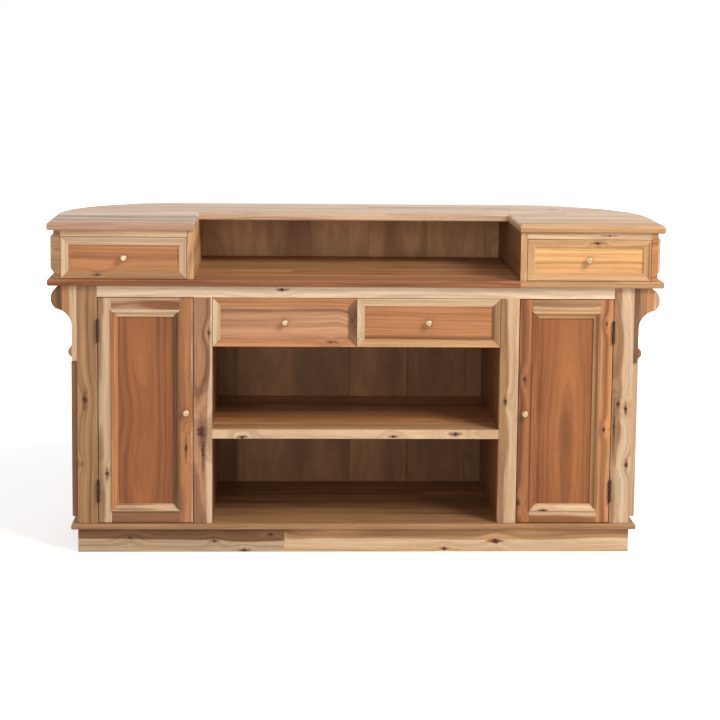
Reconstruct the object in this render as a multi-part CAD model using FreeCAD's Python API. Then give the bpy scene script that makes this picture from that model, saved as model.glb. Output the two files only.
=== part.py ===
import FreeCAD, Part
import math
import os

os.makedirs("parts", exist_ok=True)

V = FreeCAD.Vector

# Island unit of solid wood, seen from its working side. Millimetres.
# +X runs to the right, +Y away from the person at the doors and drawers, +Z up.
# A "depth" is measured back from the front edge of the top slab.

# ---------------------------------------------------------------- driving sizes

# Plan of the top slab and of the worktop below it
slab_width = 2000.0
slab_depth = 700.0
corner_radius = 400.0

# Heights, from the floor up
plinth_height = 77.5
base_thickness = 19.0
case_height = 787.5
worktop_thickness = 22.0
block_height = 158.0
slab_thickness = 26.0

# Steps in plan
upper_inset = 21.0        # outer face of the upper wall, in from the slab's edge
lower_inset = 92.0        # outer face of the lower wall, in from the slab's edge
base_overhang = 22.0      # base board beyond the lower wall
upper_setback = 10.0      # depth of the upper blocks' front
frame_setback = 20.0      # depth of the lower face frame's front
base_setback = 10.0       # depth of the base board's front edge

# Rounded edges of the three boards
slab_round_top = 9.0
slab_round_bottom = 6.0
worktop_round = 6.0
base_round_top = 7.0
base_round_bottom = 4.0
round_share_top = 0.55    # most of a board's thickness that its rounded edges may take
round_share_bottom = 0.4

# Walls and boards
upper_wall = 21.0
lower_wall = 16.0
notch_lining = 9.0
staves_per_corner = 6
bearer_thickness = 22.0
bearer_height = 60.0
bearer_places = (300.0, 700.0)
board_bevel = 1.2
narrowest_board = 5.0
lower_board_width = 206.5
upper_board_width = 208.2
upper_board_shift = 62.8

# Face frame
frame_thickness = 22.0
outer_stile_width = 66.0
inner_stile_width = 61.0
rail_height = 38.0
bay_width = 940.0
divider_thickness = 18.0

# Notch and upper blocks
notch_width = 1060.0
slab_lip = 3.0            # slab beyond the blocks at the sides of the notch
notch_depth = 355.0
block_side = 21.0
block_rail_height = 21.0
block_rail_thickness = 20.0

# Shelves
shelf_thickness = 30.0
shelf_top = 410.0
shelf_housing = 6.0
cupboard_shelf_thickness = 18.0
cupboard_shelf_top = 470.0
cupboard_shelf_setback = 60.0
cleat_width = 18.0
cleat_height = 24.0

# Doors
door_thickness = 21.5
door_gap = 2.5
door_stile_width = 42.0
door_rail_width = 40.0
panel_thickness = 8.0
panel_recess = 9.0
panel_tongue = 8.0
groove_room = 1.0
moulding_width = 24.0
moulding_lap = 2.0
moulding_edge = 2.0       # height of the main bead's edges above the frame
moulding_rise = 5.0
bead_width = 10.0
quirk_depth = 2.2
cove_sag = 1.2
inner_bead_width = 4.0
inner_bead_height = 3.4
inner_bead_rise = 1.4
inner_bead_crown = 2.4    # top of the small bead, in from the cove
inner_bead_edge = 2.7
door_knob_height = 466.0
stop_height = 40.0
stop_depth = 16.0
stop_reach = 15.0
stop_drop = 14.0

# Hinges
hinge_height = 72.0
hinge_from_bottom = 105.5
hinge_from_top = 107.5
knuckle_radius = 4.5
knuckles = 3
knuckle_gap = 0.35
pin_radius = 2.25
pin_play = 0.06
pin_tip_radius = 3.2
pin_tip_height = 2.6
leaf_thickness = 1.1
leaf_width = 17.5
hinge_clearance = 0.4

# Drawers
drawer_gap = 1.6
lower_front_height = 159.0
front_board = 12.0
border_width = 25.0
border_height = 8.0
border_flat = 3.0
border_step = 3.4
border_sag = 0.8          # hollow of the sloping part of a border
drawer_wall = 12.0
drawer_bottom = 5.0
bottom_lift = 6.0
bottom_let_in = 5.0
box_gap = 10.0
upper_box_reach = 60.0    # upper drawer boxes past the straight part of the side walls
upper_box_height = 100.0
upper_box_lift = 8.0
lower_box_room = 72.0     # space left behind a lower drawer box
lower_box_height = 120.0
lower_box_lift = 10.0
runner_height = 16.0
runner_engagement = 6.5
runner_clearance = 0.3
groove_depth = 7.0
groove_front_wall = 6.0
lower_runner_room = 32.0
partition_thickness = 18.0
partition_lift = 6.0

# Knobs
knob_length = 22.0
knob_radius = 12.0
knob_neck_radius = 4.2
knob_foot_radius = 7.0
knob_foot_height = 2.0
knob_neck_end = 8.0
knob_rim_out = 13.0
knob_rim_width = 4.0
knob_face_radius = 7.6
knob_screw_radius = 2.0
knob_screw_bite = 12.0
knob_screw_play = 0.4
knob_screw_head_radius = 4.5
knob_screw_head = 2.4

# Corbels, measured out from the wall that carries them
corbel_width = 75.0
corbel_height = 248.0
corbel_neck = 16.0
corbel_reach = 83.0
corbel_head_radius = 43.0
corbel_cove_radius = 60.0
corbel_cusp_angle = 50.0  # below the level of the head's centre
nose_height = 36.0
nose_rise = 13.0
nose_lift = 11.0
nose_setback = 10.0
pilaster_rise = 19.0
pilaster_bottom = 21.5
pilaster_bevel = 3.0
pilaster_setback = 8.0
rear_corbel_inset = 40.0  # middle of a rear corbel, in from where the back corner starts

# Raised fields on the walls
field_rise = 9.0
field_bevel = 7.0
field_margin = 24.0
frieze_rise = 15.0
frieze_bevel = 10.0
frieze_margin_low = 19.0
frieze_margin_high = 14.0
frieze_start = 40.0
back_fields = 3

# Tools that cut a seat, slot or hole reach this far past the wood
overcut = 1.0

# ---------------------------------------------------------------- derived places

base_z0 = plinth_height
case_z0 = base_z0 + base_thickness
worktop_z0 = case_z0 + case_height
block_z0 = worktop_z0 + worktop_thickness
slab_z0 = block_z0 + block_height
total_height = slab_z0 + slab_thickness

upper_knob_overhang = knob_length - upper_setback - border_height
door_knob_overhang = knob_length - frame_setback
knob_overhang = max(upper_knob_overhang, door_knob_overhang, 0.0)
slab_front_y = -(slab_depth - knob_overhang) / 2.0

straight_depth = slab_depth - corner_radius
corner_x = slab_width / 2.0 - corner_radius
upper_half = slab_width / 2.0 - upper_inset
lower_half = slab_width / 2.0 - lower_inset
frame_back = frame_setback + frame_thickness

bay_half = bay_width / 2.0
door_x0 = bay_half + inner_stile_width
door_x1 = lower_half - outer_stile_width
rail_z0 = worktop_z0 - rail_height
notch_half = notch_width / 2.0
block_x0 = notch_half + block_side
block_x1 = upper_half - block_side
notch_back = slab_depth - upper_inset - upper_wall - notch_lining
lower_back = slab_depth - lower_inset - lower_wall
lower_drawer_z0 = rail_z0 - drawer_gap - lower_front_height
upper_box_start = upper_setback + border_height + front_board
upper_box_end = straight_depth + upper_box_reach
lower_box_start = frame_setback + border_height + front_board
lower_box_end = lower_back - lower_box_room
rear_corbel_x = corner_x - rear_corbel_inset


def at(depth):
    """Y of a plane that lies this far behind the slab's front edge."""
    return slab_front_y + depth


def block(x0, x1, depth0, depth1, z0, z1):
    """Square-edged board between two corners."""
    return Part.makeBox(x1 - x0, depth1 - depth0, z1 - z0, V(x0, at(depth0), z0))


def mirrored(shape):
    """The same piece on the other side of the unit."""
    return shape.mirror(V(0, 0, 0), V(1, 0, 0))


def pair(shape):
    return [shape, mirrored(shape)]


def both_sides(shapes):
    return shapes + [mirrored(shape) for shape in shapes]


def section(start, steps, place):
    """Closed face through line steps (u, v) and arc steps (mid u, mid v, end u, end v)."""
    edges = []
    here = start
    closing = [start] if tuple(steps[-1][-2:]) != tuple(start) else []
    for step in list(steps) + closing:
        end = step[-2:]
        if len(step) == 2:
            edges.append(Part.LineSegment(place(*here), place(*end)).toShape())
        else:
            edges.append(Part.Arc(place(*here), place(*step[:2]), place(*end)).toShape())
        here = end
    return Part.Face(Part.Wire(edges))


def plan_solid(inset, front_depth, z0, z1):
    """Board with the unit's plan: straight front and sides, quarter-round back corners."""
    half = slab_width / 2.0 - inset
    radius = corner_radius - inset
    y0 = at(front_depth)
    y1 = at(straight_depth)
    y2 = at(slab_depth - inset)
    lean = radius * math.sqrt(0.5)
    steps = [
        (half, y0),
        (half, y1),
        (corner_x + lean, y1 + lean, corner_x, y2),
        (-corner_x, y2),
        (-corner_x - lean, y1 + lean, -half, y1),
    ]
    face = section((-half, y0), steps, lambda u, v: V(u, v, z0))
    return face.extrude(V(0, 0, z1 - z0))


def level_edges(shape, z):
    """Edges that lie in one horizontal plane."""
    return [e for e in shape.Edges if abs(e.BoundBox.ZMin - z) < 1e-6 and abs(e.BoundBox.ZMax - z) < 1e-6]


def rounded(shape, thickness, top_radius, bottom_radius):
    """Board with its top and bottom edges rounded all the way round, within its thickness."""
    bottom = shape.BoundBox.ZMin
    top_radius = min(top_radius, round_share_top * thickness)
    bottom_radius = min(bottom_radius, round_share_bottom * thickness)
    shape = shape.makeFillet(top_radius, level_edges(shape, bottom + thickness))
    return shape.makeFillet(bottom_radius, level_edges(shape, bottom))


def corner_sector(r_in, r_out, angle0, angle1, z0, z1):
    """Piece of the right-hand quarter-round corner between two angles from +X."""
    centre_y = at(straight_depth)

    def polar(radius, degrees):
        turn = math.radians(degrees)
        return (corner_x + radius * math.cos(turn), centre_y + radius * math.sin(turn))

    middle = (angle0 + angle1) / 2.0
    steps = [
        polar(r_out, angle0),
        polar(r_out, middle) + polar(r_out, angle1),
        polar(r_in, angle1),
        polar(r_in, middle) + polar(r_in, angle0),
    ]
    face = section(polar(r_in, angle0), steps, lambda u, v: V(u, v, z0))
    return face.extrude(V(0, 0, z1 - z0))


def staved_corner(inset, wall, z0, z1):
    """Quarter-round corner built up from upright staves, glued edge to edge."""
    r_out = corner_radius - inset
    step = 90.0 / staves_per_corner
    return [
        corner_sector(r_out - wall, r_out, i * step, (i + 1) * step, z0, z1)
        for i in range(staves_per_corner)
    ]


def boards_across(half, first_joint, width, depth0, depth1, z0, z1):
    """Upright boards side by side from -half to half, bevelled along their front edges."""
    joint = first_joint - math.floor((first_joint + half) / width) * width
    joints = [-half]
    while joint < half - narrowest_board:
        if joint > -half + narrowest_board:
            joints.append(joint)
        joint += width
    joints.append(half)
    boards = []
    for x0, x1 in zip(joints[:-1], joints[1:]):
        steps = [
            (x1 - board_bevel, at(depth0)),
            (x1, at(depth0 + board_bevel)),
            (x1, at(depth1)),
            (x0, at(depth1)),
            (x0, at(depth0 + board_bevel)),
        ]
        face = section((x0 + board_bevel, at(depth0)), steps, lambda u, v: V(u, v, z0))
        boards.append(face.extrude(V(0, 0, z1 - z0)))
    return boards


def mitred_ring(x0, x1, depth, z0, z1, width, start, steps):
    """Four lengths of one moulding round a rectangle, mitred at its corners.

    The section has u inwards from the rectangle and v forwards from the given depth.
    """
    corners = [V(x0, 0, z0), V(x1, 0, z0), V(x1, 0, z1), V(x0, 0, z1)]
    inwards = [V(0, 0, 1), V(-1, 0, 0), V(0, 0, -1), V(1, 0, 0)]
    lengths = []
    for i, inward in enumerate(inwards):
        a = corners[i]
        b = corners[(i + 1) % 4]
        along = (b - a).normalize()
        face = section(start, steps, lambda u, v: a + inward * u + V(0, at(depth) - v, 0))
        run = face.extrude(b - a)
        reach = run.BoundBox.YLength + 2.0 * overcut
        low = V(0, run.BoundBox.YMin - overcut, 0)
        mitre = [a, b, b + (inward - along) * width, a + (inward + along) * width, a]
        cutter = Part.Face(Part.makePolygon([p + low for p in mitre])).extrude(V(0, reach, 0))
        lengths.append(run.common(cutter).Solids[0])
    return lengths


# ---------------------------------------------------------------- plinth, base and case

def plinth_front():
    return [block(-lower_half, lower_half, frame_setback, frame_back, 0.0, plinth_height)]


def plinth_skirt():
    """Skirt behind the front board: straight ends, bent corners, straight back."""
    r_out = corner_radius - lower_inset
    end = block(lower_half - lower_wall, lower_half, frame_back, straight_depth, 0.0, plinth_height)
    corner = corner_sector(r_out - lower_wall, r_out, 0.0, 90.0, 0.0, plinth_height)
    back = block(-corner_x, corner_x, lower_back, lower_back + lower_wall, 0.0, plinth_height)
    return pair(end.fuse(corner).removeSplitter()) + [back]


def plinth_bearers():
    """Bearers under the base board, from the front board to the skirt."""
    inner_radius = corner_radius - lower_inset - lower_wall
    bearers = []
    for place in bearer_places:
        outer = place + bearer_thickness / 2.0
        beyond = max(outer - corner_x, 0.0)
        back = straight_depth + math.sqrt(inner_radius ** 2 - beyond ** 2)
        piece = block(outer - bearer_thickness, outer, frame_back, back,
                      plinth_height - bearer_height, plinth_height)
        bearers += pair(piece)
    return bearers


def base_board():
    board = plan_solid(lower_inset - base_overhang, base_setback, base_z0, case_z0)
    return [rounded(board, base_thickness, base_round_top, base_round_bottom)]


def side_walls():
    return pair(block(lower_half - lower_wall, lower_half, frame_back, straight_depth, case_z0, worktop_z0))


def lower_corner():
    return staved_corner(lower_inset, lower_wall, case_z0, worktop_z0)


def back_boards():
    return boards_across(corner_x, 0.0, lower_board_width, lower_back, lower_back + lower_wall,
                         case_z0, worktop_z0)


def hinge_heights():
    """Middle of each hinge of a door."""
    return [case_z0 + door_gap + hinge_from_bottom, rail_z0 - door_gap - hinge_from_top]


def leaf_mortises(x0, x1):
    """Shallow seats for the hinge leaves, between two X planes."""
    back = hinge_leaf_front() + leaf_width
    return [
        block(x0, x1, frame_setback - overcut, back, z - hinge_height / 2.0, z + hinge_height / 2.0)
        for z in hinge_heights()
    ]


def outer_stiles():
    post = block(door_x1, lower_half, frame_setback, frame_back, case_z0, worktop_z0)
    for seat in leaf_mortises(door_x1 - overcut, door_x1 + leaf_thickness):
        post = post.cut(seat)
    return pair(post)


def inner_stiles():
    return pair(block(bay_half, door_x0, frame_setback, frame_back, case_z0, rail_z0))


def front_rail():
    return [block(-door_x1, door_x1, frame_setback, frame_back, rail_z0, worktop_z0)]


def divider():
    """Upright board between the open bay and a cupboard, housed for the middle shelf."""
    board = block(bay_half, bay_half + divider_thickness, frame_back, lower_back, case_z0, worktop_z0)
    housing = block(bay_half - overcut, bay_half + shelf_housing, frame_back - overcut,
                    lower_back + overcut, shelf_top - shelf_thickness, shelf_top)
    return board.cut(housing)


def centre_shelf():
    """Thick shelf, flush with the face frame and let into both dividers."""
    front = block(-bay_half, bay_half, frame_setback, frame_back, shelf_top - shelf_thickness, shelf_top)
    housed = bay_half + shelf_housing
    rear = block(-housed, housed, frame_back, lower_back, shelf_top - shelf_thickness, shelf_top)
    return [front.fuse(rear).removeSplitter()]


def cupboard_shelf():
    """Inner shelf, cut to the curve of the wall behind it."""
    z1 = cupboard_shelf_top
    z0 = z1 - cupboard_shelf_thickness
    full = plan_solid(lower_inset + lower_wall, cupboard_shelf_setback, z0, z1)
    room = block(bay_half + divider_thickness, slab_width, 0.0, slab_depth, z0, z1)
    return full.common(room).Solids[0]


def shelf_cleats():
    """Strips that carry the cupboard shelves, on the divider and on the side wall."""
    z1 = cupboard_shelf_top - cupboard_shelf_thickness
    z0 = z1 - cleat_height
    inner = bay_half + divider_thickness
    outer = lower_half - lower_wall
    cleats = pair(block(inner, inner + cleat_width, cupboard_shelf_setback, lower_back, z0, z1))
    cleats += pair(block(outer - cleat_width, outer, cupboard_shelf_setback, straight_depth, z0, z1))
    return cleats


def door_stops():
    """Blocks behind the inner stiles that the doors close against."""
    z1 = rail_z0 - stop_drop
    inner = bay_half + divider_thickness
    stop = block(inner, door_x0 + stop_reach, frame_back, frame_back + stop_depth, z1 - stop_height, z1)
    return pair(stop)


def worktop():
    board = plan_solid(0.0, 0.0, worktop_z0, block_z0)
    return [rounded(board, worktop_thickness, worktop_round, worktop_round)]


# ---------------------------------------------------------------- upper blocks and top

def block_inner_side():
    return block(notch_half, block_x0, upper_setback, notch_back, block_z0, slab_z0)


def block_outer_side():
    return block(block_x1, upper_half, upper_setback, straight_depth, block_z0, slab_z0)


def block_rails():
    back = upper_setback + block_rail_thickness
    return pair(block(block_x0, block_x1, upper_setback, back, slab_z0 - block_rail_height, slab_z0))


def upper_corner():
    return staved_corner(upper_inset, upper_wall, block_z0, slab_z0)


def upper_back_wall():
    return [block(-corner_x, corner_x, notch_back + notch_lining, slab_depth - upper_inset, block_z0, slab_z0)]


def notch_boards():
    return boards_across(block_x0, upper_board_shift, upper_board_width, notch_back,
                         notch_back + notch_lining, block_z0, slab_z0)


def top_slab():
    slab = plan_solid(0.0, 0.0, slab_z0, total_height)
    half = notch_half - slab_lip
    notch = block(-half, half, -overcut, notch_depth, slab_z0 - overcut, total_height + overcut)
    return [rounded(slab.cut(notch), slab_thickness, slab_round_top, slab_round_bottom)]


# ---------------------------------------------------------------- corbels and raised fields

def corbel_outline():
    """Side view of a corbel: round head, cove, straight neck. u out from the wall, v up."""
    top = corbel_height
    head_u = corbel_reach - corbel_head_radius
    head_v = top - corbel_head_radius
    cove_u = corbel_neck + corbel_cove_radius
    gap_u = cove_u - head_u
    # The cove's circle is placed so that it meets the head's circle at a cusp under the head
    cusp_turn = -math.radians(corbel_cusp_angle)
    cusp_u = head_u + corbel_head_radius * math.cos(cusp_turn)
    cusp_v = head_v + corbel_head_radius * math.sin(cusp_turn)
    cove_v = cusp_v - math.sqrt(corbel_cove_radius ** 2 - (cusp_u - cove_u) ** 2)
    end_turn = math.atan2(cusp_v - cove_v, cusp_u - cove_u)
    mid_turn = (end_turn + math.pi) / 2.0
    mid = (cove_u + corbel_cove_radius * math.cos(mid_turn), cove_v + corbel_cove_radius * math.sin(mid_turn))
    steps = [
        (head_u, top),
        (corbel_reach, head_v, cusp_u, cusp_v),
        mid + (corbel_neck, cove_v),
        (corbel_neck, 0.0),
        (0.0, 0.0),
    ]
    return (0.0, top), steps


def corbel_set():
    """Corbel, nose and pilaster for a wall in the plane X = 0, front face in the plane Y = 0."""
    z0 = worktop_z0 - corbel_height
    start, steps = corbel_outline()
    corbel = section(start, steps, lambda u, v: V(u, 0, z0 + v)).extrude(V(0, corbel_width, 0))
    nose_z = z0 + nose_lift
    nose_steps = [(corbel_neck + nose_rise, nose_height / 2.0, corbel_neck, nose_height)]
    nose_face = section((corbel_neck, 0.0), nose_steps, lambda u, v: V(u, nose_setback, nose_z + v))
    nose = nose_face.extrude(V(0, corbel_width - 2.0 * nose_setback, 0))
    strip_z0 = case_z0 + pilaster_bottom
    strip = Part.makeBox(pilaster_rise, corbel_width - 2.0 * pilaster_setback, z0 - strip_z0,
                         V(0, pilaster_setback, strip_z0))
    outer_edges = [e for e in strip.Edges if abs(e.BoundBox.XMin - pilaster_rise) < 1e-6]
    strip = strip.makeChamfer(pilaster_bevel, outer_edges)
    return corbel, nose, strip


def at_side(shape):
    """Move a corbel piece to the right-hand wall, flush with the post."""
    moved = shape.copy()
    moved.translate(V(lower_half, at(frame_setback), 0))
    return moved


def at_rear(shape):
    """Move a corbel piece to the back wall, on the right."""
    moved = shape.copy()
    moved.rotate(V(0, 0, 0), V(0, 0, 1), 90.0)
    moved.translate(V(rear_corbel_x + corbel_width / 2.0, at(lower_back + lower_wall), 0))
    return moved


def bevelled_field(x0, x1, y0, y1, z0, z1, outward, bevel):
    """Raised flat field, bevelled round the face that looks outward."""
    field = Part.makeBox(x1 - x0, y1 - y0, z1 - z0, V(x0, y0, z0))
    face = max(field.Faces, key=lambda f: f.CenterOfMass.dot(outward))
    return field.makeChamfer(bevel, face.Edges)


def curved_field(inset, rise, bevel, angle0, angle1, z0, z1):
    """Raised field bent round a quarter-round corner, bevelled round its outer face."""
    r_in = corner_radius - inset
    r_out = r_in + rise
    field = corner_sector(r_in, r_out, angle0, angle1, z0, z1)
    face = max(field.Faces, key=lambda f: f.BoundBox.DiagonalLength if is_radius(f, r_out) else 0.0)
    return field.makeChamfer(bevel, face.Edges)


def is_radius(face, radius):
    surface = face.Surface
    return hasattr(surface, "Radius") and abs(surface.Radius - radius) < 1e-6


def fields_round(inset, rise, bevel, start_depth, half_back, z0, z1, margin):
    """Raised fields round one storey: both ends, both corners and the flat back."""
    half = slab_width / 2.0 - inset
    back_y = at(slab_depth - inset)
    end = bevelled_field(half, half + rise, at(start_depth), at(straight_depth) - margin / 2.0,
                         z0, z1, V(1, 0, 0), bevel)
    turn = math.degrees(margin / 2.0 / (corner_radius - inset))
    corner = curved_field(inset, rise, bevel, turn, 90.0 - turn, z0, z1)
    fields = pair(end) + pair(corner)
    width = (2.0 * half_back - (back_fields - 1) * margin) / back_fields
    for i in range(back_fields):
        x0 = -half_back + i * (width + margin)
        fields.append(bevelled_field(x0, x0 + width, back_y, back_y + rise, z0, z1, V(0, 1, 0), bevel))
    return fields


def wall_fields():
    clear = rear_corbel_x - corbel_width / 2.0 - field_margin
    start = frame_setback + corbel_width + field_margin
    return fields_round(lower_inset, field_rise, field_bevel, start, clear,
                        case_z0 + pilaster_bottom, worktop_z0 - field_margin, field_margin)


def frieze_fields():
    return fields_round(upper_inset, frieze_rise, frieze_bevel, frieze_start, corner_x - field_margin / 2.0,
                        block_z0 + frieze_margin_low, slab_z0 - frieze_margin_high, field_margin)


# ---------------------------------------------------------------- knobs

def knob_at(x, depth, z, wood):
    """Turned knob on a face at the given depth, with the screw that comes through the wood."""
    def place(r, out):
        return V(r, -out, 0)

    bore = knob_screw_radius
    bite = knob_screw_bite
    steps = [
        (knob_foot_radius, 0.0),
        (knob_foot_radius, knob_foot_height),
        (knob_neck_radius, knob_foot_height),
        (knob_neck_radius, knob_neck_end),
        (knob_radius, knob_rim_out),
        (knob_radius, knob_rim_out + knob_rim_width),
        (knob_face_radius, knob_length),
        (0.0, knob_length),
        (0.0, bite),
        (bore, bite),
    ]
    knob = section((bore, 0.0), steps, place).revolve(V(0, 0, 0), V(0, 1, 0), 360.0)
    head = -wood - knob_screw_head
    screw_steps = [
        (bore, bite),
        (bore, -wood),
        (knob_screw_head_radius, -wood),
        (knob_screw_head_radius, head),
        (0.0, head),
    ]
    screw = section((0.0, bite), screw_steps, place).revolve(V(0, 0, 0), V(0, 1, 0), 360.0)
    pieces = [Part.Solid(knob), Part.Solid(screw)]
    for piece in pieces:
        piece.translate(V(x, at(depth), z))
    return pieces


def knob_hole(x, depth, z, wood):
    """Hole for a knob's screw, right through the wood behind the knob."""
    radius = knob_screw_radius + knob_screw_play
    return Part.makeCylinder(radius, wood + 2.0 * overcut, V(x, at(depth) - overcut, z), V(0, 1, 0))


# ---------------------------------------------------------------- doors

def door_box():
    """X and Z limits of the right-hand door."""
    return (door_x0 + door_gap, door_x1 - door_gap, case_z0 + door_gap, rail_z0 - door_gap)


def door_knob_place():
    x0 = door_box()[0]
    return x0 + door_stile_width / 2.0


def door_frame():
    """Two stiles and two rails, grooved for the panel."""
    x0, x1, z0, z1 = door_box()
    back = frame_setback + door_thickness
    inner_x0 = x0 + door_stile_width
    inner_x1 = x1 - door_stile_width
    pieces = [
        block(x0, inner_x0, frame_setback, back, z0, z1),
        block(inner_x1, x1, frame_setback, back, z0, z1),
        block(inner_x0, inner_x1, frame_setback, back, z0, z0 + door_rail_width),
        block(inner_x0, inner_x1, frame_setback, back, z1 - door_rail_width, z1),
    ]
    reach = panel_tongue + groove_room
    panel_depth = frame_setback + panel_recess
    groove = block(inner_x0 - reach, inner_x1 + reach, panel_depth, panel_depth + panel_thickness,
                   z0 + door_rail_width - reach, z1 - door_rail_width + reach)
    pieces = [piece.cut(groove) for piece in pieces]
    pieces[0] = pieces[0].cut(knob_hole(door_knob_place(), frame_setback, door_knob_height, door_thickness))
    for seat in leaf_mortises(x1 - leaf_thickness, x1 + overcut):
        pieces[1] = pieces[1].cut(seat)
    return [piece.Solids[0] for piece in pieces]


def door_panel():
    x0, x1, z0, z1 = door_box()
    side = door_stile_width - panel_tongue
    end = door_rail_width - panel_tongue
    depth = frame_setback + panel_recess
    return [block(x0 + side, x1 - side, depth, depth + panel_thickness, z0 + end, z1 - end)]


def door_moulding():
    """Raised moulding over the joint of frame and panel: bead, quirk, cove and small inner bead."""
    x0, x1, z0, z1 = door_box()
    side = door_stile_width - moulding_lap
    end = door_rail_width - moulding_lap
    bead_edge = panel_recess + moulding_edge
    cove_end = moulding_width - inner_bead_width
    cove_top = bead_edge - quirk_depth
    start = (0.0, panel_recess)
    steps = [
        (0.0, bead_edge),
        (bead_width / 2.0, panel_recess + moulding_rise, bead_width, bead_edge),
        (bead_width, cove_top),
        ((bead_width + cove_end) / 2.0 - cove_sag, (cove_top + inner_bead_height) / 2.0 - cove_sag,
         cove_end, inner_bead_height),
        (cove_end + inner_bead_crown, inner_bead_height + inner_bead_rise,
         moulding_width, inner_bead_edge),
        (moulding_width, 0.0),
        (moulding_lap, 0.0),
        (moulding_lap, panel_recess),
    ]
    return mitred_ring(x0 + side, x1 - side, frame_setback + panel_recess, z0 + end, z1 - end,
                       moulding_width, start, steps)


def door_knob():
    return knob_at(door_knob_place(), frame_setback, door_knob_height, door_thickness)


# ---------------------------------------------------------------- hinges

def hinge_axis():
    """X and depth of the right-hand door's hinge pins."""
    return door_x1 - door_gap / 2.0, frame_setback - knuckle_radius - hinge_clearance


def hinge_leaf_front():
    """Depth where the flat of a leaf starts, just clear of the knuckles."""
    return hinge_axis()[1] + knuckle_radius + hinge_clearance


def knuckle_height():
    return (hinge_height - (knuckles - 1) * knuckle_gap) / knuckles


def hinge_leaf(middle_z, on_door):
    """One leaf with its knuckles: odd knuckles on the post, even ones on the door."""
    axis_x, axis_depth = hinge_axis()
    edge = door_gap / 2.0
    if on_door:
        x0 = axis_x - edge - leaf_thickness
        bore = pin_radius + pin_play
    else:
        x0 = axis_x + edge
        bore = pin_radius
    x1 = x0 + leaf_thickness
    z0 = middle_z - hinge_height / 2.0
    front = hinge_leaf_front()
    leaf = block(x0, x1, front, front + leaf_width, z0, z0 + hinge_height)
    for i in range(knuckles):
        if (i % 2 == 1) != on_door:
            continue
        low = z0 + i * (knuckle_height() + knuckle_gap)
        link = block(x0, x1, axis_depth, front, low, low + knuckle_height())
        barrel = Part.makeCylinder(knuckle_radius, knuckle_height(), V(axis_x, at(axis_depth), low))
        leaf = leaf.fuse([link, barrel])
    hole = Part.makeCylinder(bore, hinge_height + 2.0 * overcut, V(axis_x, at(axis_depth), z0 - overcut))
    return leaf.removeSplitter().cut(hole).Solids[0]


def hinge_post_leaves():
    leaves = []
    for z in hinge_heights():
        leaves += pair(hinge_leaf(z, False))
    return leaves


def hinge_door_leaves():
    return [hinge_leaf(z, True) for z in hinge_heights()]


def hinge_pins():
    """Pins with a flat button at each end."""
    axis_x, axis_depth = hinge_axis()
    half = hinge_height / 2.0
    tip = half + pin_tip_height
    steps = [
        (pin_radius, half),
        (pin_tip_radius, half),
        (pin_tip_radius, tip),
        (0.0, tip),
        (0.0, -tip),
        (pin_tip_radius, -tip),
        (pin_tip_radius, -half),
    ]
    pins = []
    for z in hinge_heights():
        face = section((pin_radius, -half), steps, lambda u, v: V(u, 0, v))
        pin = Part.Solid(face.revolve(V(0, 0, 0), V(0, 0, 1), 360.0))
        pin.translate(V(axis_x, at(axis_depth), z))
        pins += pair(pin)
    return pins


# ---------------------------------------------------------------- drawers

def upper_drawer():
    """Limits of the right-hand upper drawer: opening, front plane and box."""
    return {
        "x0": block_x0, "x1": block_x1,
        "z0": block_z0, "z1": slab_z0 - block_rail_height,
        "front": upper_setback,
        "gap_left": drawer_gap, "gap_right": drawer_gap,
        "box_z0": block_z0 + upper_box_lift, "box_height": upper_box_height,
        "box_start": upper_box_start, "box_end": upper_box_end, "runner_end": straight_depth,
    }


def lower_drawer():
    """Limits of the right-hand lower drawer, which meets its neighbour at the middle."""
    return {
        "x0": partition_thickness / 2.0, "x1": bay_half,
        "z0": lower_drawer_z0 - drawer_gap, "z1": rail_z0,
        "front": frame_setback,
        "gap_left": drawer_gap / 2.0 - partition_thickness / 2.0, "gap_right": drawer_gap,
        "box_z0": lower_drawer_z0 + lower_box_lift, "box_height": lower_box_height,
        "box_start": lower_box_start, "box_end": lower_box_end,
        "runner_end": lower_back - lower_runner_room,
    }


def drawer_front_box(d):
    """X and Z limits of a drawer front."""
    return d["x0"] + d["gap_left"], d["x1"] - d["gap_right"], d["z0"] + drawer_gap, d["z1"] - drawer_gap


def drawer_knob_place(d):
    x0, x1, z0, z1 = drawer_front_box(d)
    return (x0 + x1) / 2.0, d["front"] + border_height, (z0 + z1) / 2.0


def drawer_front(d):
    """Flat board with four mitred border strips that slope down to it."""
    x0, x1, z0, z1 = drawer_front_box(d)
    face_depth = d["front"] + border_height
    board = block(x0, x1, face_depth, face_depth + front_board, z0, z1)
    kx, kd, kz = drawer_knob_place(d)
    board = board.cut(knob_hole(kx, kd, kz, front_board))
    middle = (border_flat + border_width) / 2.0
    slope = (border_height + border_step) / 2.0 - border_sag
    steps = [
        (0.0, border_height),
        (border_flat, border_height),
        (middle, slope, border_width, border_step),
        (border_width, 0.0),
    ]
    return [board] + mitred_ring(x0, x1, face_depth, z0, z1, border_width, (0.0, 0.0), steps)


def runner_levels(d):
    """Bottom and top of a runner, half-way up the drawer's side."""
    middle = d["box_z0"] + d["box_height"] / 2.0
    return middle - runner_height / 2.0, middle + runner_height / 2.0


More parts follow.
